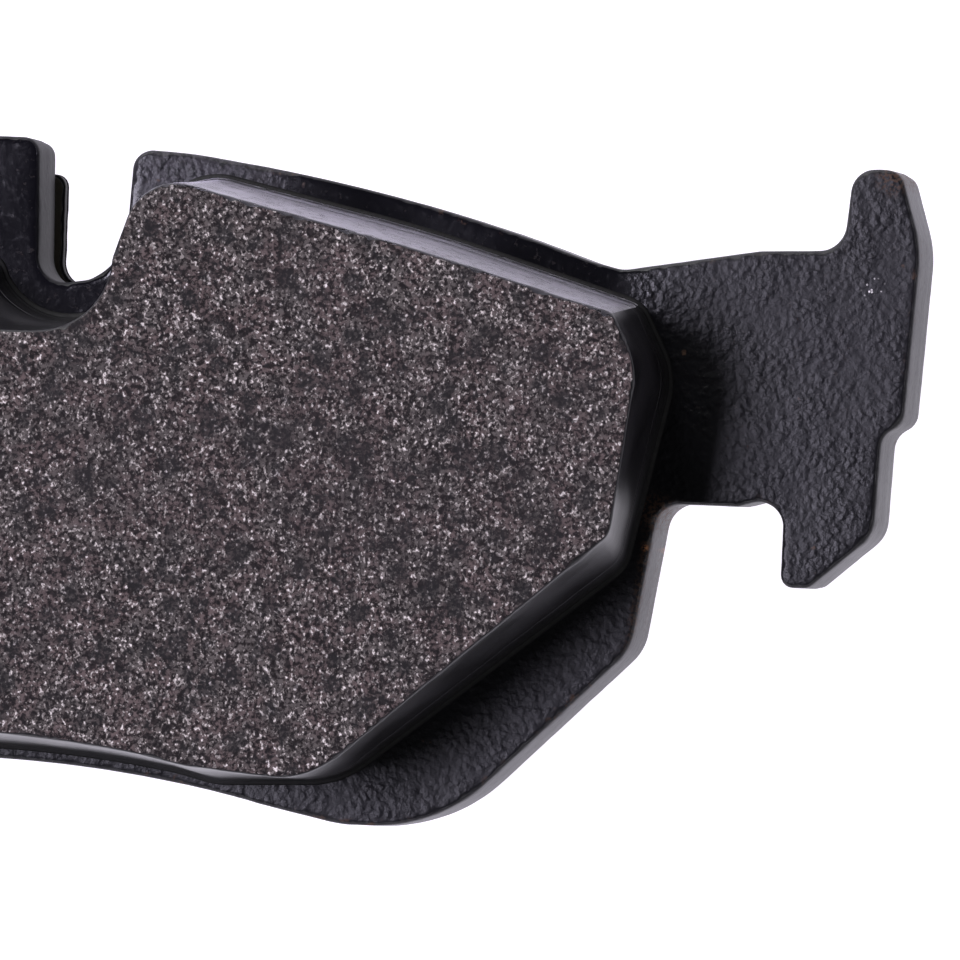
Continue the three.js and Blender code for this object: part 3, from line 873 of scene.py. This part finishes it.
def ground_relief(flat):
    """Depth of the ground face below its plane: tool marks, grain and pits where lumps tore out."""
    at = lifted(flat, 0)
    grain = 0.012 * np.abs(fractal(at, 0.55, 2))
    pits = 0.05 * smoothstep(0.28, 0.62, fractal(at + 17, 1.1, 2))
    broad = 0.02 * np.abs(fractal(at, 14, 1))
    return grain + pits + broad


def friction_lining():
    shell = Shell()
    wall_top = BLOCK_FACE - GROUND_ROUND
    first = JOINT + BLOCK_GAP
    rows = [first + 0.05 + (wall_top - first - 0.05) * k / SIDE_ROWS for k in range(SIDE_ROWS + 1)]
    rings = [block_ring(shell, first, 0.05)]
    rings += [block_ring(shell, z, 0.0, smoothstep(7.0, 9.8, z - PLATE_FACE) * 0.35) for z in rows]
    ragged = fractal(lifted(FACE_LINE, 3), 0.8, 3, 0.6)
    chips = np.clip(ragged - 0.25, 0, 1) * 0.5
    for turn, wear in ((30, 0.5), (60, 0.9)):
        angle = math.radians(turn)
        inset = GROUND_ROUND * (1 - math.cos(angle)) + chips * 0.7
        rings.append(block_ring(shell, wall_top + GROUND_ROUND * math.sin(angle), inset, wear))
    rings.append(block_ring(shell, BLOCK_FACE - 0.012, GROUND_ROUND + chips + 0.04 * ragged, 1.0))
    shell.walls(rings, [side_slots(2)] * (len(rings) - 2) + [1])
    edge = shell.flat(rings[-1])
    inner = scatter(edge, [], FACE_STEP)
    shell.cap([rings[-1]], lifted(inner, BLOCK_FACE - ground_relief(inner)), True, 1)
    base = scatter(shell.flat(rings[0]), [], COARSE_STEP, 0.4)
    shell.cap([rings[0]], lifted(base, first), False)
    materials = [COATED_BLOCK, FRICTION, HIGHLIGHT_SIDE_BLOCK]
    return shell.build("friction_lining_ground", "pad", materials, ["friction_lining"])


# ---- noise shim -----------------------------------------------------------------------------
def sheet_layer(name, node, materials, inset, ripple, fine):
    """One layer of the shim: a blanked sheet with rounded edges and a slightly uneven outline."""
    low, high = heights(node)
    loops = flat_loops(node, low)
    outline = divide(loops[:1], SHEET_STEP)[0]
    thickness = high - low
    corner = min(0.12, thickness * 0.35)
    rows = [
        (low + SHIM_GAP, inset + corner, 0.8),
        (low + SHIM_GAP + corner * 0.3, inset + corner * 0.3, 1.0),
        (low + corner, inset, 0.4),
        (high - corner, inset, 0.4),
        (high - SHIM_GAP - corner * 0.3, inset + corner * 0.3, 1.0),
        (high - SHIM_GAP, inset + corner, 0.8),
    ]
    shell = Shell()
    rings = edge_wall(shell, outline, rows, ripple)
    shell.walls(rings, len(materials) - 1)
    upper_holes, lower_holes = [], []
    for loop in loops[1:]:
        middle = loop.mean(0)
        radius = mean_radius(loop, middle)
        pair = [shell.add(lifted(circle(middle, radius), z)) for z in (high - SHIM_GAP, low + SHIM_GAP)]
        shell.walls(pair)
        upper_holes.append(pair[0])
        lower_holes.append(pair[1])
    covers = ((rings[0], lower_holes, low + SHIM_GAP), (rings[-1], upper_holes, high - SHIM_GAP))
    for ring, holes, z in covers:
        up = ring is rings[-1]
        hole_edges = [shell.flat(hole) for hole in holes]
        step = COARSE_STEP if up else fine
        inner = scatter(shell.flat(ring), hole_edges, step, 0.6)
        lift = 0.02 * fractal(lifted(inner, 0), 3.0, 3) if step < COARSE_STEP else 0.0
        lift = lift * smoothstep(0, 1.2, distance_to(inner, shell.flat(ring)))
        shell.cap([ring, *holes], lifted(inner, z + lift), up)
    return shell.build(name, "pad", materials, [node])


def noise_shim():
    """The four layers, from the plate outwards. The edges of the adhesive layer and of the steel sheet take
    the dark outer rubber material.
    """
    rubber = [OUTER_RUBBER]
    glued = [ADHESIVE, OUTER_RUBBER]
    steel = [SHIM_STEEL, OUTER_RUBBER]
    sheet_layer("shim_adhesive_layer", "shim_adhesive", glued, 0.15, 0.12, COARSE_STEP)
    sheet_layer("shim_inner_coat", "shim_inner_rubber", rubber, 0.0, 0.03, COARSE_STEP)
    sheet_layer("shim_steel_sheet", "shim_steel_core", steel, 0.05, 0.02, COARSE_STEP)
    sheet_layer("shim_outer_coat", "shim_outer_rubber", rubber, 0.0, 0.03, BACK_STEP)


# ---- piston clip ----------------------------------------------------------------------------
STRIP_EDGE = 0.2
ARM_STRAIGHT = (12.4, 12.8)
TIP_RADIUS = 1.6
BEND_FROM, BEND_TO = 0.05, 1.6


def clip_hub():
    loops = flat_loops("piston_clip_hub", CLIP_BACK)
    outline = divide(loops[:1], 0.35)[0]
    reach = np.linalg.norm(outline, axis=1)
    softened = outline.copy()
    for _ in range(6):
        softened = (np.roll(softened, 1, 0) + 2 * softened + np.roll(softened, -1, 0)) / 4
    keep = smoothstep(*ARM_STRAIGHT, reach)[:, None]
    outline = softened * (1 - keep) + outline * keep
    arm_ends = np.linalg.norm(outline, axis=1) > ARM_END - 0.02
    mask = np.where(arm_ends, 0.0, 1.0)
    rows = []
    for turn in (90, 60, 30, 0):
        angle = math.radians(turn)
        inset = STRIP_EDGE * (1 - math.cos(angle))
        rows.append((CLIP_BACK + STRIP_EDGE * (1 - math.sin(angle)), inset, 0.5 + 0.4 * math.sin(angle)))
    rows += [(CLIP_BACK + CLIP_FACE - z, inset, wear) for z, inset, wear in reversed(rows)]
    shell = Shell()
    rings = edge_wall(shell, outline, rows, 0.0, mask)
    shell.walls(rings)
    upper_holes, lower_holes = [], []
    for loop in loops[1:]:
        middle = loop.mean(0)
        radius = mean_radius(loop, middle)
        profile = [
            (CLIP_FACE, radius + 0.15), (CLIP_FACE - 0.05, radius + 0.04), (CLIP_FACE - 0.18, radius),
            (CLIP_BACK + 0.18, radius), (CLIP_BACK + 0.05, radius + 0.04), (CLIP_BACK, radius + 0.15),
        ]
        made = [shell.add(lifted(circle(middle, r), z), 0.6) for z, r in profile]
        shell.walls(made)
        upper_holes.append(made[0])
        lower_holes.append(made[-1])
    for ring, holes, z in ((rings[0], lower_holes, CLIP_BACK), (rings[-1], upper_holes, CLIP_FACE)):
        hole_edges = [shell.flat(hole) for hole in holes]
        inner = scatter(shell.flat(ring), hole_edges, HUB_STEP, 0.6)
        shell.cap([ring, *holes], lifted(inner, z), z == CLIP_FACE)
    return shell.build("piston_clip_hub_plated", "pad", [SPRING], ["piston_clip_hub"])


def leg_path():
    """The leg's centre line as distance out from the piston's axis and height."""
    low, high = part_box("piston_clip_leg_lower")
    side = flat_loops("piston_clip_leg_lower", high.x / MM, 0)[0]
    side = side * (-1, 1)
    starts = [i for i in range(len(side)) if side[i, 0] < side[:, 0].min() + 0.01]
    first = starts[0] if (starts[0] - 1) % len(side) in starts else starts[1]
    side = np.roll(side, -first, axis=0)
    middle = (side + side[::-1])[: len(side) // 2] / 2
    return divide([middle], 0.3, False)[0], (high.x - low.x) / MM


def clip_leg(side, direction):
    path, width = leg_path()
    lead = np.linspace((ARM_END, path[0, 1]), path[0], 3)[:-1]
    path = np.vstack([lead, path])
    along = np.gradient(path, axis=0)
    along /= np.linalg.norm(along, axis=1)[:, None]
    across = np.column_stack([-along[:, 1], along[:, 0]])
    travelled = np.concatenate([[0], np.cumsum(np.linalg.norm(np.diff(path, axis=0), axis=1))])
    left = travelled[-1] - travelled
    half_thickness = (CLIP_FACE - CLIP_BACK) / 2
    section = []
    for quarter in range(4):
        for turn in (0, 30, 60, 90):
            angle = math.radians(quarter * 90 + turn)
            sx, sz = ((1, 1), (-1, 1), (-1, -1), (1, -1))[quarter]
            section.append((sx, STRIP_EDGE * math.cos(angle), sz, STRIP_EDGE * math.sin(angle)))
    out = Vector((*direction, 0))
    tangent = Vector((-direction[1], direction[0], 0))
    shell = Shell()
    rings = []
    for k, (point, normal) in enumerate(zip(path, across)):
        inset = TIP_RADIUS - math.sqrt(max(TIP_RADIUS**2 - max(TIP_RADIUS - left[k], 0) ** 2, 0.0))
        half_width = width / 2 - inset * 0.8
        taper = min(1.0, 0.45 + left[k] / 0.25)
        ring = []
        for sx, dx, sz, dz in section:
            u = sx * (half_width - STRIP_EDGE) + dx
            v = (sz * (half_thickness - STRIP_EDGE) + dz) * taper
            radius, height = point + normal * v
            at = out * radius + tangent * u
            ring.append((at.x, at.y, height))
        rings.append(shell.add(ring, 0.3))
    for before, after in zip(rings, rings[1:]):
        shell.bridge(before, after)
    shell.faces += [tuple(rings[0][::-1]), tuple(rings[-1])]
    shell.slots += [0, 0]
    name = f"piston_clip_leg_{side}"
    piece = shell.build(f"{name}_plated", None, [SPRING], [name])
    start = out * (ARM_END + BEND_FROM) * MM
    end = out * (ARM_END + BEND_TO) * MM
    middle_height = (CLIP_BACK + CLIP_FACE) / 2 * MM
    start.z = middle_height
    end.z = middle_height
    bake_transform(piece)


def clip_rivet(side):
    """A turned profile: a flat head in the plate, a shank, and the round head closed over the hub."""
    node = f"clip_rivet_{side}"
    low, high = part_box(node)
    centre = ((low.x + high.x) / 2 / MM, (low.y + high.y) / 2 / MM)
    bottom, top = heights(node)
    head = (high.x - low.x) / 2 / MM
    shank = head * 0.62
    head_height = CLIP_BACK - bottom
    profile = [(0.001, bottom + 0.12), (head * 0.2, bottom + 0.11), (head * 0.27, bottom + 0.02)]
    profile += [(head * 0.33, bottom)]
    for turn in range(10, 91, 8):
        angle = math.radians(turn)
        reach = head * (0.36 + 0.64 * math.sin(angle))
        profile.append((reach, CLIP_BACK - 0.08 - (head_height - 0.08) * math.cos(angle) ** 0.9))
    profile += [(head, CLIP_BACK - 0.06), (head - 0.05, CLIP_BACK), (shank, CLIP_BACK)]
    profile += [(shank, top - 1.45), (head, top - 1.45), (head, top - 0.05), (0.001, top)]
    shell = Shell()
    rings = []
    for radius, z in profile:
        loop = circle(centre, radius, 56)
        wobble = 0.012 * fractal(lifted(loop, z), 1.2, 2) if radius > 0.5 else 0.0
        loop = loop + outward(loop) * np.broadcast_to(wobble, len(loop))[:, None]
        rings.append(shell.add(lifted(loop, z), 0.2))
    shell.walls(rings)
    shell.faces += [tuple(rings[0][::-1]), tuple(rings[-1])]
    shell.slots += [0, 0]
    return shell.build(f"{node}_set", "pad", [RIVET], [node])


# ---- camera, floor and light ----------------------------------------------------------------
CAMERA_DISTANCE = 2.5
CAMERA_DIRECTION = Vector((0.21128, -0.02094, 0.97720))
CAMERA_ROLL = math.radians(2.50)
VIEW_WIDTH = 0.061935
CAMERA_TARGET = Vector((0.03328, 0.00076, PLATE_FACE * MM))
FLOOR_RADIUS = 2.2
FLOOR_HEIGHT = -0.0002


def camera():
    data = bpy.data.cameras.new("camera")
    data.sensor_width = 36
    data.lens = data.sensor_width * CAMERA_DISTANCE / VIEW_WIDTH
    data.clip_start, data.clip_end = 0.1, 50
    made = bpy.data.objects.new("camera", data)
    back = CAMERA_DIRECTION.normalized()
    right = (-back).cross(Vector((0, 1, 0))).normalized()
    up = right.cross(-back)
    turned_right = right * math.cos(CAMERA_ROLL) + up * math.sin(CAMERA_ROLL)
    turned_up = up * math.cos(CAMERA_ROLL) - right * math.sin(CAMERA_ROLL)
    axes = Matrix((turned_right, turned_up, back)).transposed()
    made.matrix_world = Matrix.Translation(CAMERA_TARGET + back * CAMERA_DISTANCE) @ axes.to_4x4()
    bpy.context.scene.collection.objects.link(made)
    bpy.context.scene.camera = made


def floor():
    """A round, pale light table."""
    mesh = bpy.data.meshes.new("floor")
    rim = lifted(circle((0, 0), FLOOR_RADIUS, 64), FLOOR_HEIGHT)
    mesh.from_pydata(rim.tolist(), [], [tuple(range(len(rim)))])
    made = bpy.data.objects.new("floor", mesh)
    bpy.context.scene.collection.objects.link(made)
    n = Nodes("floor_acrylic")
    n.set("Base Color", n.mix(n.noise(900, 2), (0.44, 0.44, 0.44), (0.46, 0.46, 0.46)))
    n.set("Roughness", 0.6)
    n.set("Specular IOR Level", 0.0)
    n.set("Emission Color", (1.0, 0.96, 1.07, 1))
    n.set("Emission Strength", 1.04)
    mesh.materials.append(n.material)


def softbox(name, place, aim, width, height, power, colour=(1, 1, 1)):
    data = bpy.data.lights.new(name, "AREA")
    data.shape = "RECTANGLE"
    data.size, data.size_y = width, height
    data.energy = power
    data.color = colour
    made = bpy.data.objects.new(name, data)
    made.location = place
    made.rotation_euler = (Vector(place) - Vector(aim)).to_track_quat("Z", "Y").to_euler()
    bpy.context.scene.collection.objects.link(made)


def room():
    """A dim room to the object, with a pale backdrop to the eye."""
    world = bpy.data.worlds.new("room")
    bpy.context.scene.world = world
    world.use_nodes = True
    tree = world.node_tree
    seen = tree.nodes["Background"]
    seen.inputs["Color"].default_value = (0.93, 0.93, 0.94, 1)
    seen.inputs["Strength"].default_value = 1.0
    lighting = tree.nodes.new("ShaderNodeBackground")
    lighting.inputs["Color"].default_value = (0.95, 0.95, 1.0, 1)
    lighting.inputs["Strength"].default_value = 0.05
    path = tree.nodes.new("ShaderNodeLightPath")
    mix = tree.nodes.new("ShaderNodeMixShader")
    tree.links.new(path.outputs["Is Camera Ray"], mix.inputs[0])
    tree.links.new(lighting.outputs[0], mix.inputs[1])
    tree.links.new(seen.outputs[0], mix.inputs[2])
    tree.links.new(mix.outputs[0], tree.nodes["World Output"].inputs["Surface"])


def studio():
    aim = (0.02, 0, 0.02)
    softbox("key_left", (-0.55, 0.02, 0.97), aim, 0.45, 0.45, 7.2, (1.0, 0.95, 1.16))
    softbox("low_top", (-0.6, 1.1, 0.5), aim, 0.9, 0.6, 9)
    softbox("low_left", (-1.1, -0.7, 0.45), aim, 0.9, 0.9, 2.8)
    softbox("low_right", (1.1, -0.7, 0.55), aim, 0.9, 0.9, 1.9)
    room()
    floor()
    bpy.context.scene.view_settings.view_transform = "Standard"


# ---- assembly -------------------------------------------------------------------------------
camera()
studio()
backing_plate()
bond_film()
underlayer()
friction_lining()
noise_shim()
clip_hub()
for joint in frame["joints"]:
    leg = joint["child"].removeprefix("leg_")
    direction = Vector(joint["pos_m"][:2]).normalized()
    clip_leg(leg, direction)
for side in ("left", "right"):
    clip_rivet(side)
